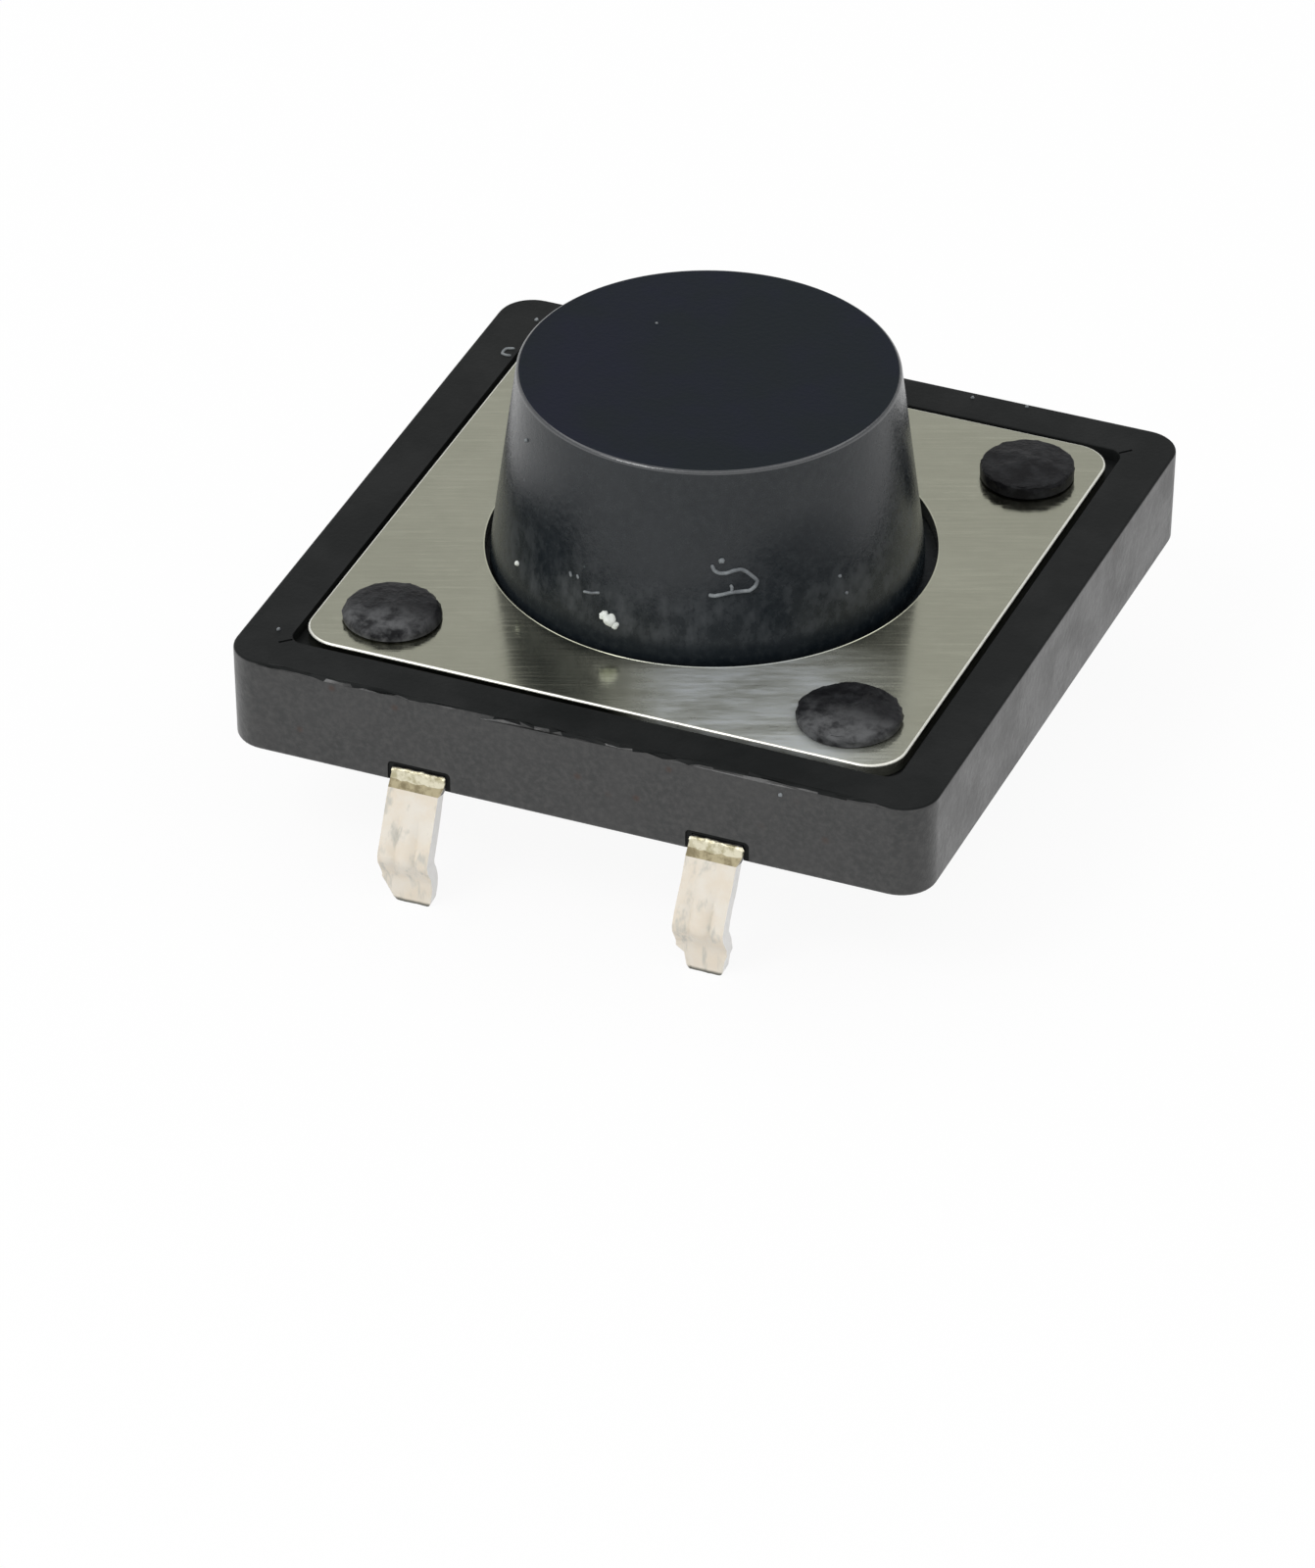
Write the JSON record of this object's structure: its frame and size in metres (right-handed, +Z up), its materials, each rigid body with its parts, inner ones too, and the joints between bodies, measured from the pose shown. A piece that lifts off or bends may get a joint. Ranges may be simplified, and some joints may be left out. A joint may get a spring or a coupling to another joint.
{
  "type": "tactile push button switch",
  "caption": "Square through-hole tactile switch with a round button, a steel cover plate held by staked posts, and kinked snap-in legs.",
  "frame": {"origin": "centre of the base's underside, in the plane of the board that it sits on", "axes": "+Z up through the button, +X along the face that shows two legs, legs on the faces at -Y and +Y"},
  "size_m": [0.012, 0.0132, 0.007],
  "materials": {
    "base_plastic": "fine moulded matt black",
    "button_plastic": "satin black with fine dust",
    "plate_steel": "satin rolled stainless steel",
    "dome_steel": "bright spring steel",
    "tinned_brass": "matt tin plate over brass"
  },
  "bodies": {
    "base": {"base_housing": "base_plastic", "cover_plate": "plate_steel", "contact_dome": "dome_steel", "terminal_strip_outer": "tinned_brass", "terminal_strip_centre": "tinned_brass"},
    "plunger": {"button": "button_plastic"}
  },
  "joints": [
    {"name": "button_press", "type": "slide", "parent": "base", "child": "plunger", "axis": [0, 0, -1], "range_m": [0, 0.0003], "stiffness_N_per_m": 5300, "deforming": ["contact_dome"]}
  ]
}
